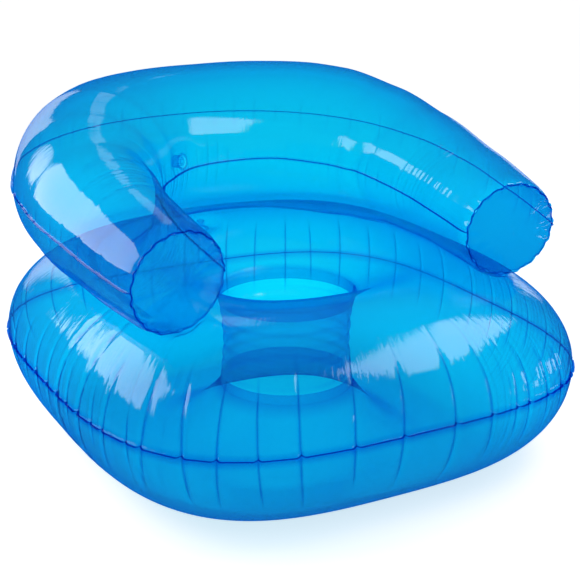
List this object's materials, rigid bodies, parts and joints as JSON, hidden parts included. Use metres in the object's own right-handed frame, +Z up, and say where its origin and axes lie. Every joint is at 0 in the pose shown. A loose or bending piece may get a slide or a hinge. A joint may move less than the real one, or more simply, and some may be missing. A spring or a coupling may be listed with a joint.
{
  "type": "inflatable pool chair",
  "caption": "Blown-up see-through vinyl chair: rounded square seat cushion round an open centre column, with a U-shaped tube on top as backrest and arms.",
  "frame": {"origin": "middle of the chair's footprint, on the surface that it stands on", "axes": "+Z up, the sitter faces -Y, +X to the right seen from the front"},
  "size_m": [1.062, 1.1261, 0.7287],
  "materials": {
    "seat_film": "clear glossy blue vinyl film",
    "column_film": "clear glossy blue vinyl film",
    "bolster_film": "clear glossy blue vinyl film",
    "weld_film": "welded blue vinyl, slightly darker",
    "valve": "soft moulded vinyl"
  },
  "bodies": {
    "chair": {"seat_top_sheet": "seat_film", "seat_bottom_sheet": "seat_film", "column_wall": "column_film", "bolster_upper_sheet": "bolster_film", "bolster_lower_sheet": "bolster_film", "left_arm_end_disc": "bolster_film", "right_arm_end_disc": "bolster_film", "bolster_weld_band": "weld_film", "seat_valve_flange": "valve", "bolster_valve_flange": "valve"},
    "seat_valve_stem": {"seat_valve_stem": "valve"},
    "seat_valve_cap": {"seat_valve_cap": "valve"},
    "seat_valve_flap": {"seat_valve_flap": "valve"},
    "bolster_valve_stem": {"bolster_valve_stem": "valve"},
    "bolster_valve_cap": {"bolster_valve_cap": "valve"},
    "bolster_valve_flap": {"bolster_valve_flap": "valve"}
  },
  "joints": [
    {"name": "seat_valve_push", "type": "slide", "parent": "chair", "child": "seat_valve_stem", "axis": [-0.0044, -0.073, 0.9973], "range_m": [-0.018, 0]},
    {"name": "seat_valve_cap_hinge", "type": "hinge", "parent": "seat_valve_stem", "child": "seat_valve_cap", "pos_m": [-0.06415, 0.24346, 0.40354], "axis": [0.9763, 0.2153, 0.0201], "range_deg": [0, 150]},
    {"name": "seat_valve_flap_hinge", "type": "hinge", "parent": "seat_valve_stem", "child": "seat_valve_flap", "pos_m": [-0.06469, 0.24765, 0.38499], "axis": [-0.9763, -0.2153, -0.0201], "range_deg": [0, 60], "stiffness_Nm_per_rad": 0.00005, "springref_deg": -17.19},
    {"name": "bolster_valve_pull", "type": "slide", "parent": "chair", "child": "bolster_valve_stem", "axis": [0.5229, -0.8486, 0.0806], "range_m": [0, 0.018]},
    {"name": "bolster_valve_cap_hinge", "type": "hinge", "parent": "bolster_valve_stem", "child": "bolster_valve_cap", "pos_m": [-0.13199, 0.19986, 0.56827], "axis": [-0.8463, -0.5281, -0.07], "range_deg": [0, 85]},
    {"name": "bolster_valve_flap_hinge", "type": "hinge", "parent": "bolster_valve_stem", "child": "bolster_valve_flap", "pos_m": [-0.14153, 0.21572, 0.56387], "axis": [0.8463, 0.5281, 0.07], "range_deg": [0, 60], "stiffness_Nm_per_rad": 0.00005, "springref_deg": -17.19}
  ]
}
